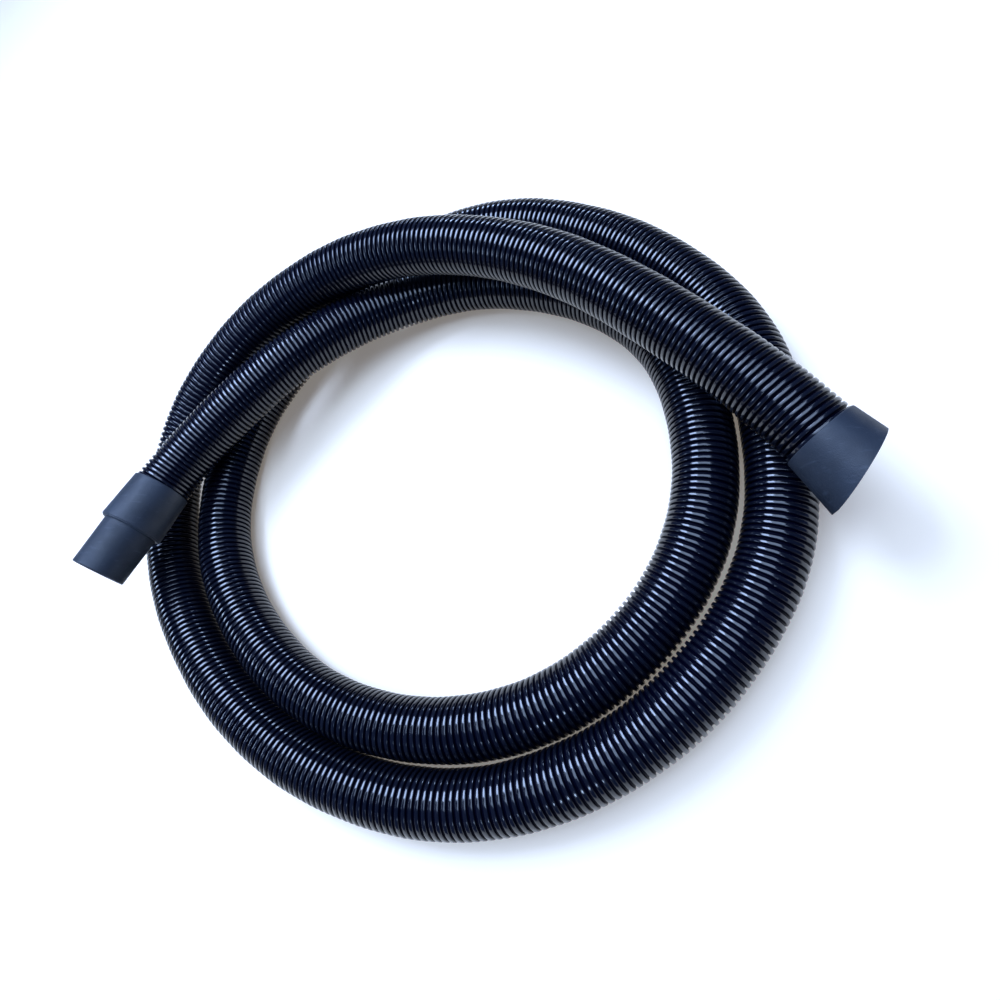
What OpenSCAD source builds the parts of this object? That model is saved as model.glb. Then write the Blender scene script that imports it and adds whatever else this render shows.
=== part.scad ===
// Pool vacuum hose lying in a loose coil of about two and a half turns.
// A spiral-ribbed hose, drawn here as a plain tube over its ribs, carries a swivel
// cuff on one end and a one-piece flared cuff on the other.
// The origin is on the floor under the middle of the coil, +Z is up.

/* [Hose] */
// Diameter over the ribs
hose_od = 46; // [45:0.5:46]
// Bore of the hose
hose_bore = 38; // [36:0.5:39]
// Sides of the plain tube that stands for the ribbed wall
tube_sides = 12; // [8:1:12]
// Rings of the tube for each step of the route
rings_per_step = 2; // [1:1:2]

/* [Swivel cuff] */
// Length of hose held in the collar
collar_grip = 32; // [24:1:36]
// Length of collar in front of the hose end
collar_nose = 10.5; // [10.5:0.5:16]
// Diameter of the collar at the hose side
collar_back_d = 48.6; // [48.5:0.1:50]
// Diameter of the collar at its front edge
collar_front_d = 51.4; // [51:0.1:54]
// Diameter of the nozzle where it turns in the retaining ring
nozzle_root_d = 44; // [43.5:0.1:44.5]
// Diameter of the nozzle at its mouth
nozzle_tip_d = 42.2; // [41.5:0.1:43]
// Bore of the nozzle, which slips over a vacuum head's neck
nozzle_bore = 38.1; // [37.5:0.1:38.5]
// Distance from the hose end to the nozzle's mouth
nozzle_reach = 55; // [50:1:75]

/* [Flared cuff] */
// Length of hose held in the flared cuff
flare_grip = 10; // [8:1:16]
// Distance from the hose end to the middle of the mouth
flare_nose = 20; // [20:1:28]
// Diameter of the flared cuff at the hose side
flare_back_d = 48.6; // [48.5:0.1:50]
// Diameter of the flared cuff at its mouth
flare_mouth_d = 54.6; // [54:0.1:57]
// Bore of the socket, which slips over a 48.26 mm pipe or wall fitting
socket_bore = 48.4; // [48.3:0.05:48.6]
// Slant of the mouth's rim
mouth_skew = 18; // [0:1:18]

/* [Fits] */
// Bite of both cuffs on the hose ribs, on the radius
rib_bite = 0.2; // [0.1:0.05:0.4]
// Running gap round the turning nozzle, on the radius
running_gap = 0.06; // [0.03:0.01:0.1]
// End float of the nozzle's flange on each side
end_float = 0.2; // [0.15:0.05:0.4]
// Wall between the swivel chamber and the collar's front edge
collar_wall = 2; // [1.8:0.1:2.2]

/* [Hidden] */
$fn = 96;
eps = 0.01;

// The way the hose lies: x, y and how high its underside is above the floor.
// It leaves the swivel cuff, makes an inner turn, dives under its own start,
// makes an outer turn and climbs over everything to the flared cuff.
route = [
    [-260, -45, 60], [-240, 20, 45], [-145, 115, 45], [-70, 175, 10],
    [30, 195, 0], [140, 150, 0], [197, 86, 0], [214, 0, 0],
    [204, -75, 0], [155, -150, 0], [70, -200, 0], [-35, -205, 0],
    [-130, -170, 0], [-210, -90, 0], [-235, -5, 0], [-220, 95, 0],
    [-155, 170, 0], [-75, 235, 0], [25, 260, 0], [120, 225, 0],
    [195, 165, 0], [250, 85, 0], [260, 0, 0], [255, -80, 0],
    [210, -155, 0], [150, -210, 0], [60, -250, 0], [-40, -250, 0],
    [-145, -215, 0], [-230, -145, 0], [-285, -65, 0], [-295, 20, 10],
    [-260, 95, 30], [-190, 160, 45], [-95, 195, 55], [10, 185, 65],
    [115, 140, 65], [190, 75, 60], [245, 20, 55], [283, -25, 46]
];
last = len(route) - 1;
hose_r = hose_od / 2;
lift = [0, 0, hose_r];

// Swivel cuff, in distances from the hose end along its axis
grip_r = hose_r - rib_bite;
ledge = 2;                                   // stop for the hose end
ledge_r = 20;
chamber_r = collar_front_d / 2 - collar_wall;
washer_t = 1.8;
washer_slack = 0.1;
flange_r = chamber_r - 0.3;
flange_t = 3.5;
flange_start = ledge + washer_t + end_float;
flange_end = flange_start + flange_t;
ring_start = flange_end + end_float;
ring_face_t = 1.2;                           // lip of the ring outside the collar
ring_face_r = collar_front_d / 2 - 0.9;
root_r = nozzle_root_d / 2;
ring_r = root_r + running_gap;
nozzle_straight = collar_nose + ring_face_t + 0.6;
neck_stop = 16;                              // where a pushed-in neck comes to rest
neck_stop_r = 18;
seal_r = 0.85;                               // section radius of the O-ring
seal_track_r = chamber_r - running_gap - seal_r;
groove_w = 2 * seal_r + 0.1;
groove_floor_r = seal_track_r - seal_r - 0.03;
groove_start = flange_start + (flange_t - groove_w) / 2;
edge = 0.8;                                  // rounding of the outer edges

// Flared cuff
stop_t = 1.5;
stop_r = 20.5;
socket_r = socket_bore / 2;
socket_depth = 8;                            // parallel seat, before the lead-in
lead_in_r = flare_mouth_d / 2 - 1.6;
flare_slope = (flare_mouth_d - flare_back_d) / 2 / (flare_grip + flare_nose);
skew_rise = flare_mouth_d / 2 * tan(mouth_skew);

function unit(v) = v / norm(v);

// Route point k, with one mirrored point beyond each end
function knot(k) =
    k < 0 ? 2 * route[0] - route[1]
    : k > last ? 2 * route[last] - route[last - 1]
    : route[k];

// Cubic B-spline through the route: its point and its direction at u along step k
function curve_point(k, u) = lift + (
    pow(1 - u, 3) * knot(k - 1)
    + (3 * pow(u, 3) - 6 * pow(u, 2) + 4) * knot(k)
    + (-3 * pow(u, 3) + 3 * pow(u, 2) + 3 * u + 1) * knot(k + 1)
    + pow(u, 3) * knot(k + 2)) / 6;
function curve_direction(k, u) = unit(
    -pow(1 - u, 2) * knot(k - 1)
    + (3 * pow(u, 2) - 4 * u) * knot(k)
    + (-3 * pow(u, 2) + 2 * u + 1) * knot(k + 1)
    + pow(u, 2) * knot(k + 2));

// One ring of the tube, square to the curve, with a corner straight down
function ring(k, u, r) =
    let (
        centre = curve_point(k, u),
        along = curve_direction(k, u),
        side = unit(cross([0, 0, 1], along)),
        up = cross(along, side)
    )
    [for (i = [0:tube_sides - 1])
        let (a = 360 * i / tube_sides)
        centre + r * (cos(a) * up + sin(a) * side)];

function tube_rings(r) = [
    for (k = [0:last - 1], j = [0:rings_per_step - 1]) ring(k, j / rings_per_step, r),
    ring(last - 1, 1, r)
];

// Two triangles for each side of each stretch between rings; first is the first
// corner's number, and the skin faces outward or, for the bore, inward
function skin(rings, first, outward) = [
    for (m = [0:rings - 2], i = [0:tube_sides - 1])
        let (
            a = first + m * tube_sides + i,
            b = first + m * tube_sides + (i + 1) % tube_sides,
            c = b + tube_sides,
            d = a + tube_sides
        )
        each outward ? [[a, b, c], [a, c, d]] : [[a, c, b], [a, d, c]]
];

// Flat end between the outer corners from p and the inner corners from q
function end_face(p, q, outward) = [
    for (i = [0:tube_sides - 1])
        let (
            n = (i + 1) % tube_sides
        )
        each outward ? [[p + i, q + i, q + n], [p + i, q + n, p + n]]
            : [[p + i, q + n, q + i], [p + i, p + n, q + n]]
];

module hose() {
    outer = tube_rings(hose_r);
    inner = tube_rings(hose_bore / 2);
    rings = len(outer);
    half = rings * tube_sides;
    corners = [for (r = outer) each r, for (r = inner) each r];
    color([0.07, 0.08, 0.11])
        polyhedron(
            points = corners,
            faces = concat(
                skin(rings, 0, true),
                skin(rings, half, false),
                end_face(0, half, true),
                end_face(half - tube_sides, 2 * half - tube_sides, false)
            ),
            convexity = 10
        );
}

// Places a cuff drawn along +Z so that it starts at a hose end and points away from it
module on_hose_end(end, neighbour) {
    away = unit(end - neighbour);
    translate(end + lift)
        rotate([0, acos(away[2]), atan2(away[1], away[0])])
            children();
}

module swivel_end() {
    on_hose_end(route[0], route[1]) children();
}

module flared_end() {
    on_hose_end(route[last], route[last - 1]) children();
}

// Quarter circle of corner points from angle a1 to a2 round [r, z]
function corner(r, z, radius, a1, a2) = [
    for (i = [0:4])
        let (a = a1 + (a2 - a1) * i / 4)
        [r + radius * cos(a), z + radius * sin(a)]
];

module swivel_collar() {
    color([0.22, 0.27, 0.36])
        swivel_end()
            rotate_extrude()
                polygon(concat(
                    [[grip_r, -collar_grip]],
                    corner(collar_back_d / 2 - edge, edge - collar_grip, edge, -90, 0),
                    [
                        [collar_front_d / 2, collar_nose - edge / 2],
                        [collar_front_d / 2 - edge / 2, collar_nose],
                        [chamber_r, collar_nose],
                        [chamber_r, ledge],
                        [ledge_r, ledge],
                        [ledge_r, 0],
                        [grip_r, 0]
                    ]
                ));
}

module thrust_washer() {
    color([0.75, 0.76, 0.74])
        swivel_end()
            translate([0, 0, ledge])
                difference() {
                    cylinder(r = chamber_r - washer_slack, h = washer_t);
                    translate([0, 0, -eps])
                        cylinder(r = ledge_r, h = washer_t + 2 * eps);
                }
}

module swivel_nozzle() {
    color([0.24, 0.3, 0.4])
        swivel_end()
            rotate_extrude()
                polygon(concat(
                    [
                        [neck_stop_r, flange_start],
                        [flange_r, flange_start],
                        [flange_r, groove_start],
                        [groove_floor_r, groove_start],
                        [groove_floor_r, groove_start + groove_w],
                        [flange_r, groove_start + groove_w],
                        [flange_r, flange_end],
                        [root_r, flange_end],
                        [root_r, nozzle_straight]
                    ],
                    corner(nozzle_tip_d / 2 - edge, nozzle_reach - edge, edge, 0, 90),
                    [
                        [nozzle_bore / 2, nozzle_reach],
                        [nozzle_bore / 2, neck_stop],
                        [neck_stop_r, neck_stop]
                    ]
                ));
}

module nozzle_seal() {
    color([0.05, 0.05, 0.05])
        swivel_end()
            translate([0, 0, flange_start + flange_t / 2])
                rotate_extrude()
                    translate([seal_track_r, 0])
                        circle(r = seal_r, $fn = 32);
}

module retaining_ring() {
    color([0.2, 0.25, 0.33])
        swivel_end()
            rotate_extrude()
                polygon([
                    [ring_r, ring_start],
                    [chamber_r, ring_start],
                    [chamber_r, collar_nose],
                    [ring_face_r, collar_nose],
                    [ring_face_r, collar_nose + ring_face_t / 2],
                    [ring_face_r - ring_face_t / 2, collar_nose + ring_face_t],
                    [ring_r, collar_nose + ring_face_t]
                ]);
}

module flared_cuff() {
    long_z = flare_nose + skew_rise;
    color([0.24, 0.3, 0.4])
        flared_end()
            difference() {
                rotate_extrude()
                    polygon(concat(
                        [[grip_r, -flare_grip]],
                        corner(flare_back_d / 2 - edge, edge - flare_grip, edge, -90, 0),
                        [
                            [flare_back_d / 2 + flare_slope * (long_z + flare_grip), long_z],
                            [lead_in_r, long_z],
                            [lead_in_r, flare_nose],
                            [socket_r, stop_t + socket_depth],
                            [socket_r, stop_t],
                            [stop_r, stop_t],
                            [stop_r, 0],
                            [grip_r, 0]
                        ]
                    ));
                translate([0, 0, flare_nose])
                    rotate([-mouth_skew, 0, 0])
                        translate([-flare_mouth_d, -flare_mouth_d, 0])
                            cube([2 * flare_mouth_d, 2 * flare_mouth_d, flare_mouth_d]);
            }
}

hose();
swivel_collar();
thrust_washer();
swivel_nozzle();
nozzle_seal();
retaining_ring();
flared_cuff();
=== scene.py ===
"""The looks of a pool vacuum hose in a loose coil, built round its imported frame. Metres, +Z up."""

import math

import bpy
import numpy as np
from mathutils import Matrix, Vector


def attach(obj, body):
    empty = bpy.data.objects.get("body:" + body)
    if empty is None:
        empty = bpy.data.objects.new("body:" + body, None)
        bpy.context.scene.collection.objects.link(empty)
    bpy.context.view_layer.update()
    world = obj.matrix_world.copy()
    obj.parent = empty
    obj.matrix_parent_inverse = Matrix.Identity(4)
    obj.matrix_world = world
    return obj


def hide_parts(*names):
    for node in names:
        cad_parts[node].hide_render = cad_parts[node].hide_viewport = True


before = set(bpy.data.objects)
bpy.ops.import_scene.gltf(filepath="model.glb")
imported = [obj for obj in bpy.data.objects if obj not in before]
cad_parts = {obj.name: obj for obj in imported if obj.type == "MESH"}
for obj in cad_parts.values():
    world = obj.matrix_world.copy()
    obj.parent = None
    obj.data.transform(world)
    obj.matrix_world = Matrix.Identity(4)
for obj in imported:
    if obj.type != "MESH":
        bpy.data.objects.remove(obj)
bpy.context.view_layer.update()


# ---- Camera ----

CAMERA_PLACE = Vector((0.2209, -0.1826, 0.4400))
CAMERA_TARGET = Vector((0.0459, -0.0192, 0.0))
LENS_MM = 21.6
SENSOR_MM = 36.0


def place(name, data):
    """A new object in the scene that holds data."""
    thing = bpy.data.objects.new(name, data)
    bpy.context.scene.collection.objects.link(thing)
    return thing


def aim(thing, target, resting=Vector((0, 0, -1))):
    """Turns thing by the shortest way, so that its resting direction points at target."""
    thing.rotation_mode = "QUATERNION"
    thing.rotation_quaternion = resting.rotation_difference(target - thing.location)


def make_camera():
    """The photo's view, as the scene's camera."""
    camera = place("camera", bpy.data.cameras.new("camera"))
    camera.data.lens = LENS_MM
    camera.data.sensor_width = SENSOR_MM
    camera.location = CAMERA_PLACE
    aim(camera, CAMERA_TARGET)
    bpy.context.scene.camera = camera


# ---- The line that the hose follows ----

HOSE_R = 0.023  # over the ribs
BORE_R = 0.019

# x, y and the height of the underside, from the swivel cuff to the flared cuff
ROUTE = [
    (-0.260, -0.045, 0.060), (-0.240, 0.020, 0.045), (-0.145, 0.115, 0.045),
    (-0.070, 0.175, 0.010), (0.030, 0.195, 0.0), (0.140, 0.150, 0.0),
    (0.197, 0.086, 0.0), (0.214, 0.0, 0.0), (0.204, -0.075, 0.0),
    (0.155, -0.150, 0.0), (0.070, -0.200, 0.0), (-0.035, -0.205, 0.0),
    (-0.130, -0.170, 0.0), (-0.210, -0.090, 0.0), (-0.235, -0.005, 0.0),
    (-0.220, 0.095, 0.0), (-0.155, 0.170, 0.0), (-0.075, 0.235, 0.0),
    (0.025, 0.260, 0.0), (0.120, 0.225, 0.0), (0.195, 0.165, 0.0),
    (0.250, 0.085, 0.0), (0.260, 0.0, 0.0), (0.255, -0.080, 0.0),
    (0.210, -0.155, 0.0), (0.150, -0.210, 0.0), (0.060, -0.250, 0.0),
    (-0.040, -0.250, 0.0), (-0.145, -0.215, 0.0), (-0.230, -0.145, 0.0),
    (-0.285, -0.065, 0.0), (-0.295, 0.020, 0.010), (-0.260, 0.095, 0.030),
    (-0.190, 0.160, 0.045), (-0.095, 0.195, 0.055), (0.010, 0.185, 0.065),
    (0.115, 0.140, 0.065), (0.190, 0.075, 0.060), (0.245, 0.020, 0.055),
    (0.283, -0.025, 0.046),
]
STEPS = 200  # samples of the curve from one route point to the next


def centreline():
    """Fine points of the cubic B-spline through the route, and how far along each one is."""
    k = np.array(ROUTE) + (0, 0, HOSE_R)
    k = np.vstack([2 * k[0] - k[1], k, 2 * k[-1] - k[-2]])
    a, b, c, d = (k[i : len(k) - 3 + i, None, :] for i in range(4))
    u = np.linspace(0, 1, STEPS, endpoint=False)[None, :, None]
    inside = (
        (1 - u) ** 3 * a
        + (3 * u**3 - 6 * u**2 + 4) * b
        + (-3 * u**3 + 3 * u**2 + 3 * u + 1) * c
        + u**3 * d
    ) / 6
    points = np.vstack([inside.reshape(-1, 3), k[-2]])
    gaps = np.linalg.norm(np.diff(points, axis=0), axis=1)
    return points, np.concatenate([[0], np.cumsum(gaps)])


LINE, ALONG = centreline()
HOSE_LENGTH = float(ALONG[-1])


def spread(table, where):
    """Rows of a table that goes with LINE, read at the distances in where."""
    return np.stack([np.interp(where, ALONG, column) for column in table.T], axis=-1)


def frames(where):
    """Centre, up and side of the hose at the distances in where."""
    heading = spread(np.gradient(LINE, ALONG, axis=0), where)
    heading /= np.linalg.norm(heading, axis=-1, keepdims=True)
    side = np.cross([0, 0, 1], heading)
    side /= np.linalg.norm(side, axis=-1, keepdims=True)
    return spread(LINE, where), np.cross(heading, side), side


def on_tube(where, turn, radius):
    """Points of the tube at the distances in where, turned from the top, at that radius."""
    centre, up, side = frames(where)
    out = np.cos(turn)[..., None] * up + np.sin(turn)[..., None] * side
    return centre + np.asarray(radius)[..., None] * out


# ---- Hose: a helical bead on a thin wall, with a smooth bore ----

# How far along the hose, and the pitch of the bead there: stretched here, squeezed there
PITCHES = [
    (0.0, 0.0044), (0.2, 0.0044), (0.36, 0.0052), (0.68, 0.0045), (1.05, 0.0050),
    (1.6, 0.0052), (2.15, 0.0046), (2.7, 0.0051), (3.2, 0.0052), (3.45, 0.0045),
    (3.7, 0.0041),
]
BEAD_HEIGHT = 0.0021
BEAD_SHARE = 0.66  # share of the pitch that the bead covers
# Half of the bead's section: distance from its middle in half widths, and height from 0 to 1
BEAD_SHAPE = [(0.28, 1.0), (0.56, 0.99), (0.78, 0.90), (0.93, 0.55), (1.0, 0.0)]
AROUND = 30  # steps in one turn of the helix, and corners of a ring of the bore
EVEN_END = 0.03  # length at each end over which the bead's unevenness fades out
BORE_RING_GAP = 0.012  # from one ring of the bore to the next, nearly


def bead_profile():
    """Where in one pitch each column of the skin lies, and how high, from 0 in the groove to 1."""
    across, height = np.array(BEAD_SHAPE).T
    across = np.concatenate([-across[::-1], across])
    position = 0.5 + 0.5 * BEAD_SHARE * across
    return np.concatenate([[0], position]), np.concatenate([[0], height[::-1], height])


def helix():
    """The skin's number of turns, and how far along the hose each turn of the helix starts.

    The starts run from 0 to the hose's end. The skin has one turn less than the helix, because
    its last row reaches a whole pitch further, which is where the hose ends.
    """
    fine = np.linspace(0, HOSE_LENGTH, len(LINE))
    pitch = np.interp(fine, *np.array(PITCHES).T)
    wound = np.concatenate([[0], np.cumsum(2 * np.diff(fine) / (pitch[1:] + pitch[:-1]))])
    turns = round(wound[-1])
    return turns - 1, np.interp(np.arange(turns + 1), wound * turns / wound[-1], fine)


TURNS, TURN_STARTS = helix()
COLUMN_PLACE, COLUMN_RISE = bead_profile()
COLUMNS = len(COLUMN_PLACE)
ROWS = TURNS * AROUND + 1
RINGS = round(HOSE_LENGTH / BORE_RING_GAP) + 1

# Strips of a texture map, one above the other: the skin's, then the bore's
STRIPS = 5
STRIP_TURNS = math.ceil(TURNS / STRIPS)
STRIP_MARGIN = 0.02
SPARE_CORNER = 0.999  # u and v in the map of the faces that close the ends


def unevenness(where, turn):
    """Small play of a moulded bead, in metres: change of radius, and shift along the hose."""
    swell = 0.00012 * np.sin(61 * where) + 0.00008 * np.sin(173 * where + 2 * turn)
    lean = 0.00035 * np.sin(turn + 9 * where) + 0.0002 * np.sin(2 * turn - 31 * where)
    return swell, lean


def skin_points():
    """Points of the ribbed skin, and how high on the bead each one is.

    There is one row for each step round the helix, with one column for each corner of the bead,
    and then the free edge of the last turn.
    """
    tail = np.arange(ROWS, ROWS + AROUND)
    step = np.concatenate([np.repeat(np.arange(ROWS), COLUMNS), tail])
    part = np.concatenate([np.tile(COLUMN_PLACE, ROWS), 0 * tail])
    rise = np.concatenate([np.tile(COLUMN_RISE, ROWS), 0 * tail])
    where = np.interp(step / AROUND + part, np.arange(len(TURN_STARTS)), TURN_STARTS)
    turn = 2 * math.pi * step / AROUND
    swell, lean = unevenness(where, turn)
    ease = np.clip(np.minimum(where, HOSE_LENGTH - where) / EVEN_END, 0, 1)
    radius = HOSE_R - BEAD_HEIGHT * (1 - rise) + swell * ease
    return on_tube(where + lean * ease, turn, radius), rise


def skin_index(row, column):
    """Number of a skin point; past the last row, the points are those of the free edge."""
    return np.where(row >= ROWS, ROWS * COLUMNS + row - ROWS, row * COLUMNS + column)


def strip_uv(turns_along, share_round, strip):
    """Place in the texture map of a point so many turns along a strip."""
    u = STRIP_MARGIN / 2 + (1 - STRIP_MARGIN) * turns_along / (STRIP_TURNS + 1)
    v = (strip + STRIP_MARGIN + (1 - 2 * STRIP_MARGIN) * share_round) / (STRIPS + 1)
    return np.stack([u, np.broadcast_to(v, np.shape(u))], axis=-1)


def four(*corners):
    """One row for each face, with its four corners in turn."""
    return np.stack(corners, axis=1)


def skin_faces():
    """Faces of the skin, whose last column joins the next turn, and their places in the map."""
    row = np.repeat(np.arange(ROWS - 1), COLUMNS)
    column = np.tile(np.arange(COLUMNS), ROWS - 1)
    wraps = column == COLUMNS - 1
    next_row = np.where(wraps, row + AROUND, row)
    next_column = np.where(wraps, 0, column + 1)
    faces = four(
        skin_index(row, column),
        skin_index(next_row, next_column),
        skin_index(next_row + 1, next_column),
        skin_index(row + 1, column),
    )
    edge = np.append(COLUMN_PLACE, 1)
    turn, step = row // AROUND, row % AROUND
    strip = turn // STRIP_TURNS
    low, high = step / AROUND, (step + 1) / AROUND
    left = turn % STRIP_TURNS + low
    right = left + 1 / AROUND
    places = four(
        strip_uv(left + edge[column], low, strip),
        strip_uv(left + edge[column + 1], low, strip),
        strip_uv(right + edge[column + 1], high, strip),
        strip_uv(right + edge[column], high, strip),
    )
    return faces, places


def bore_points():
    """Points of the smooth bore, in rings."""
    where = np.repeat(np.linspace(0, HOSE_LENGTH, RINGS), AROUND)
    turn = np.tile(2 * math.pi * np.arange(AROUND) / AROUND, RINGS)
    return on_tube(where, turn, np.full(len(where), BORE_R))


def bore_faces(first):
    """Faces of the bore, turned inward, and their places in the map. Its points start at first."""
    ring = np.repeat(np.arange(RINGS - 1), AROUND)
    corner = np.tile(np.arange(AROUND), RINGS - 1)
    after = (corner + 1) % AROUND
    faces = first + four(
        ring * AROUND + corner,
        ring * AROUND + after,
        (ring + 1) * AROUND + after,
        (ring + 1) * AROUND + corner,
    )
    span = (STRIP_TURNS + 1) / (RINGS - 1)
    low, high = corner / AROUND, (corner + 1) / AROUND
    places = four(
        strip_uv(ring * span, low, STRIPS),
        strip_uv(ring * span, high, STRIPS),
        strip_uv((ring + 1) * span, high, STRIPS),
        strip_uv((ring + 1) * span, low, STRIPS),
    )
    return faces, places


def end_faces(first):
    """At each end, a ramp from the helix's free edge to the bore, and the flat step in it."""
    faces = []
    for start, ring in ((0, 0), (ROWS - 1, RINGS - 1)):
        rim = [int(skin_index(start + i, 0)) for i in range(AROUND + 1)]
        inner = [first + ring * AROUND + i % AROUND for i in range(AROUND + 1)]
        step = [int(skin_index(start, column)) for column in range(COLUMNS)]
        step += [rim[-1], inner[0]]
        ramp = [[rim[i], rim[i + 1], inner[i + 1], inner[i]] for i in range(AROUND)]
        if ring:
            ramp = [face[::-1] for face in ramp]
        else:
            step.reverse()
        faces += [*ramp, step]
    return faces


def make_hose():
    """The hose's mesh, with the height on the bead and the texture map that its finish uses."""
    skin, rise = skin_points()
    bore = bore_points()
    outside, outside_places = skin_faces()
    inside, inside_places = bore_faces(len(skin))
    faces = [*outside.tolist(), *inside.tolist(), *end_faces(len(skin))]

    mesh = bpy.data.meshes.new("hose_skin")
    mesh.from_pydata(np.vstack([skin, bore]).tolist(), [], faces)
    mesh.shade_smooth()
    heights = np.concatenate([rise, np.zeros(len(bore))])
    layer = mesh.attributes.new("bead_height", "FLOAT", "POINT")
    layer.data.foreach_set("value", heights.astype(np.float32))

    # A texture map laid out in strips along the hose, named OFBake
    uv = mesh.uv_layers.new(name="OFBake")
    known = np.concatenate([outside_places.reshape(-1, 2), inside_places.reshape(-1, 2)])
    places = np.full((len(mesh.loops), 2), SPARE_CORNER)
    places[: len(known)] = known
    uv.data.foreach_set("uv", places.astype(np.float32).ravel())
    return place("ribbed_hose", mesh)


# ---- Materials ----


class Recipe:
    """A material's node tree, and short ways to add to it."""

    def __init__(self, name):
        self.material = bpy.data.materials.new(name)
        self.material.use_nodes = True
        self.tree = self.material.node_tree
        self.shader = self.tree.nodes["Principled BSDF"]

    def node(self, kind, **inputs):
        """A node with the inputs named, each a number, a colour or another node's output."""
        made = self.tree.nodes.new("ShaderNode" + kind)
        for name, value in inputs.items():
            self.feed(made.inputs[name.replace("_", " ")], value)
        return made

    def feed(self, socket, value):
        """Links a socket to another node's output, or sets it to a number or a colour."""
        if isinstance(value, bpy.types.NodeSocket):
            self.tree.links.new(value, socket)
        else:
            socket.default_value = value

    def noise(self, scale, detail, stretch=(1, 1, 1)):
        """Noise in the object's own metres: scale spots to the metre, times stretch by axis."""
        spot = self.node("Mapping", Vector=self.node("TexCoord").outputs["Object"], Scale=stretch)
        made = self.node("TexNoise", Vector=spot.outputs[0], Scale=scale, Detail=detail)
        return made.outputs["Fac"]

    def ramp(self, value, low, high, to_low=0.0, to_high=1.0):
        """Maps value from low..high to to_low..to_high, held at both ends."""
        made = self.node(
            "MapRange", Value=value, From_Min=low, From_Max=high, To_Min=to_low, To_Max=to_high
        )
        return made.outputs["Result"]

    def add(self, one, other):
        """The sum of two values."""
        made = self.node("Math")
        self.feed(made.inputs[0], one)
        self.feed(made.inputs[1], other)
        return made.outputs[0]

    def mix(self, share, low, high):
        """A colour between low and high."""
        made = self.node("Mix")
        made.data_type = "RGBA"
        # The node has several sockets of each name, so they go by number
        for socket, value in ((0, share), (6, low), (7, high)):
            self.feed(made.inputs[socket], value)
        return made.outputs[2]

    def bump(self, height, distance):
        """Roughens the surface by height, which is worth that distance in metres."""
        made = self.node("Bump", Height=height, Distance=distance, Strength=1.0)
        self.feed(self.shader.inputs["Normal"], made.outputs[0])

    def set(self, **inputs):
        """Sets or links the shader's own inputs."""
        for name, value in inputs.items():
            self.feed(self.shader.inputs[name.replace("_", " ")], value)


def hose_plastic():
    """Glossy black hose wall, faintly blue, with clouded crests; the grooves are rougher and carry
    painted shade, a darker colour and weaker reflection.
    """
    look = Recipe("hose_wall")
    attribute = look.node("Attribute")
    attribute.attribute_name = "bead_height"
    height = attribute.outputs["Fac"]
    cloud = look.ramp(look.noise(22, 4), 0.35, 0.65)
    crest = look.mix(cloud, (0.0022, 0.0030, 0.0070, 1), (0.0045, 0.0055, 0.0105, 1))
    # Painted shade: the grooves take a darker colour than the crests, lightening towards the bead's
    # top
    shade = look.ramp(height, 0.45, 0.95)
    dullness = look.ramp(height, 0.3, 0.9, 0.3, 0.0)
    grain = look.ramp(look.noise(160, 3), 0.3, 0.7, 0.10, 0.17)
    look.set(
        Base_Color=look.mix(shade, (0.0001, 0.0003, 0.0050, 1), crest),
        Roughness=look.add(grain, dullness),
        # Painted shade: reflection weakened down in the grooves
        Specular_IOR_Level=look.ramp(height, 0.4, 0.92, 0.03, 0.55),
        IOR=1.5,
    )
    look.bump(look.noise(500, 2), 0.00003)
    return look.material


def cuff_plastic():
    """Satin slate-blue moulded vinyl, clouded by handling, with dull scuffs."""
    look = Recipe("cuff_vinyl")
    cloud = look.ramp(look.noise(38, 5), 0.33, 0.68)
    scuffs = look.ramp(look.noise(110, 6, (1, 3.5, 1)), 0.6, 0.74)
    body = look.mix(cloud, (0.0075, 0.0125, 0.0210, 1), (0.0145, 0.0220, 0.0350, 1))
    look.set(
        Base_Color=look.mix(scuffs, body, (0.024, 0.033, 0.048, 1)),
        Roughness=look.ramp(look.noise(70, 4), 0.3, 0.7, 0.50, 0.64),
        IOR=1.47,
    )
    look.bump(look.noise(1400, 3), 0.00015)
    return look.material


def plain_plastic(name, low, high, roughness):
    """Plastic or rubber of a smaller piece, clouded between two near colours."""
    look = Recipe(name)
    cloud = look.ramp(look.noise(90, 3), 0.35, 0.65)
    look.set(
        Base_Color=look.mix(cloud, low, high),
        Roughness=look.ramp(look.noise(200, 3), 0.3, 0.7, roughness - 0.05, roughness + 0.05),
    )
    look.bump(look.noise(800, 2), 0.0001)
    return look.material


def floor_paint():
    """A pale floor with a faint glow, a little warm against the cool lamps."""
    look = Recipe("floor_paint")
    look.set(
        Base_Color=look.mix(look.noise(3, 2), (0.93, 0.81, 0.64, 1), (0.95, 0.83, 0.66, 1)),
        Roughness=0.8,
        Emission_Color=(1.0, 0.88, 0.74, 1),
        Emission_Strength=0.18,
    )
    return look.material


def wear(node, material):
    """Gives a CAD node its finish."""
    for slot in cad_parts[node].material_slots:
        slot.material = material


# ---- Studio ----

FLOOR_HALF = 6.0
FLOOR_DROP = 0.0003  # keeps the floor clear of the lowest ribs
LIGHT_AIM = Vector((0, 0, 0.03))


def make_floor():
    """A wide floor under the coil, which is not part of the object."""
    low, high = -FLOOR_HALF, FLOOR_HALF
    corners = [(low, low, 0), (high, low, 0), (high, high, 0), (low, high, 0)]
    mesh = bpy.data.meshes.new("floor")
    mesh.from_pydata(corners, [], [(0, 1, 2, 3)])
    floor = place("floor", mesh)
    floor.location.z = -FLOOR_DROP
    mesh.materials.append(floor_paint())


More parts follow.
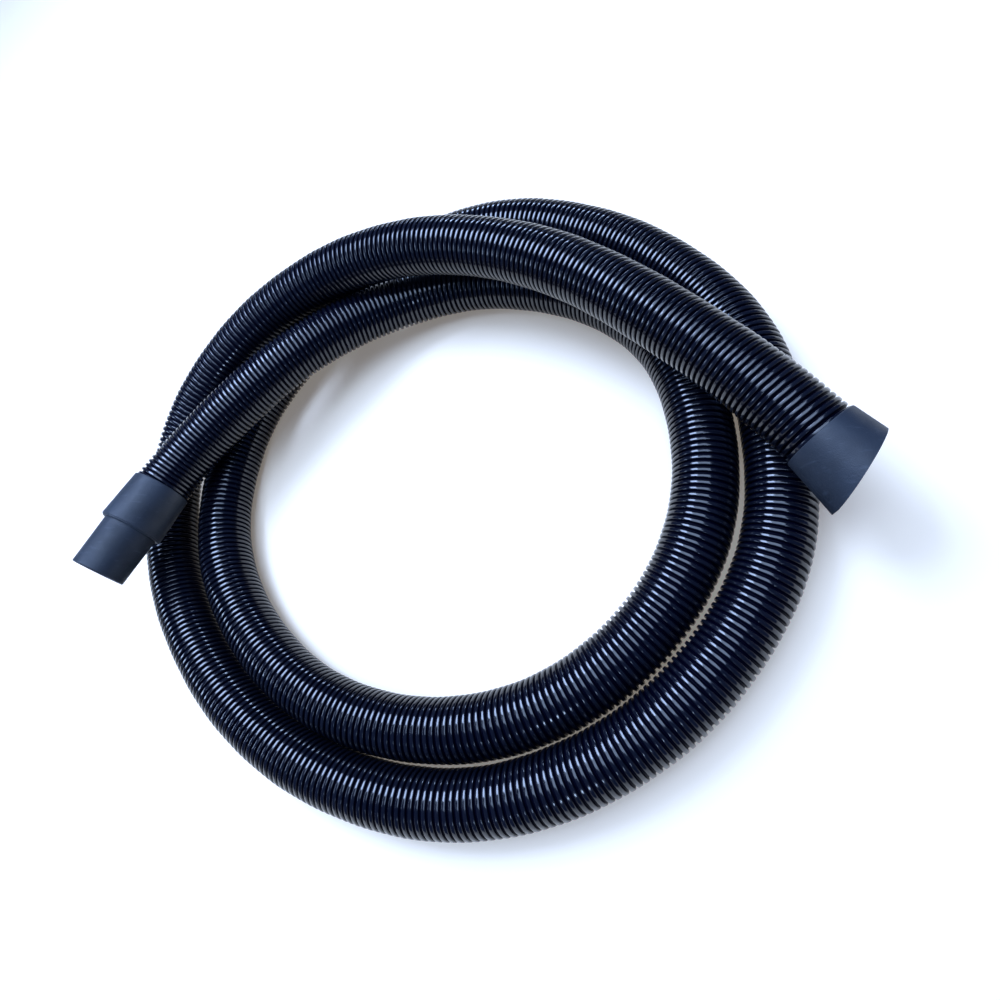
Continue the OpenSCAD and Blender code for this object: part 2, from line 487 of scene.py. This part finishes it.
def soft_light(name, at, size, watts, colour):
    """A rectangular lamp at that place, turned to the middle of the coil."""
    light = place(name, bpy.data.lights.new(name, "AREA"))
    light.data.shape = "RECTANGLE"
    light.data.size, light.data.size_y = size
    light.data.energy = watts
    light.data.color = colour
    light.location = at
    aim(light, LIGHT_AIM)


def dim_room():
    """A dim blue room all round, seen by the camera as a pale wall."""
    world = bpy.data.worlds.new("studio")
    world.use_nodes = True
    tree = world.node_tree
    room = tree.nodes["Background"]
    room.inputs["Color"].default_value = (0.045, 0.075, 0.20, 1)
    wall = tree.nodes.new("ShaderNodeBackground")
    wall.inputs["Color"].default_value = (0.90, 0.91, 0.93, 1)
    seen = tree.nodes.new("ShaderNodeLightPath").outputs["Is Camera Ray"]
    choose = tree.nodes.new("ShaderNodeMixShader")
    tree.links.new(seen, choose.inputs[0])
    tree.links.new(room.outputs[0], choose.inputs[1])
    tree.links.new(wall.outputs[0], choose.inputs[2])
    tree.links.new(choose.outputs[0], tree.nodes["World Output"].inputs["Surface"])
    return world


def make_studio():
    """The floor, five cool lamps and the room round them."""
    make_floor()
    soft_light("window", (-0.75, 0.60, 1.6), (0.7, 0.9), 40, (0.47, 0.63, 1.0))
    soft_light("overhead", (0.1, 0.1, 1.9), (1.6, 1.6), 44, (0.50, 0.67, 1.0))
    soft_light("back", (-0.3, 2.2, 0.9), (1.0, 0.25), 16, (0.47, 0.65, 1.0))
    soft_light("left", (-2.0, -0.3, 1.0), (0.4, 0.9), 14, (0.50, 0.68, 1.0))
    soft_light("front", (0.4, -1.9, 1.3), (0.3, 0.3), 6, (0.50, 0.68, 1.0))
    bpy.context.scene.world = dim_room()
    bpy.context.scene.view_settings.view_transform = "Standard"


# ---- Assembly ----

make_camera()

hose = make_hose()
hose.data.materials.append(hose_plastic())
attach(hose, "hose")
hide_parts("hose")

cuffs = cuff_plastic()
for cuff in ("swivel_collar", "swivel_nozzle", "retaining_ring", "flared_cuff"):
    wear(cuff, cuffs)
acetal = plain_plastic("acetal", (0.60, 0.60, 0.56, 1), (0.66, 0.66, 0.62, 1), 0.4)
rubber = plain_plastic("black_rubber", (0.01, 0.01, 0.01, 1), (0.02, 0.02, 0.02, 1), 0.6)
wear("thrust_washer", acetal)
wear("nozzle_seal", rubber)

make_studio()
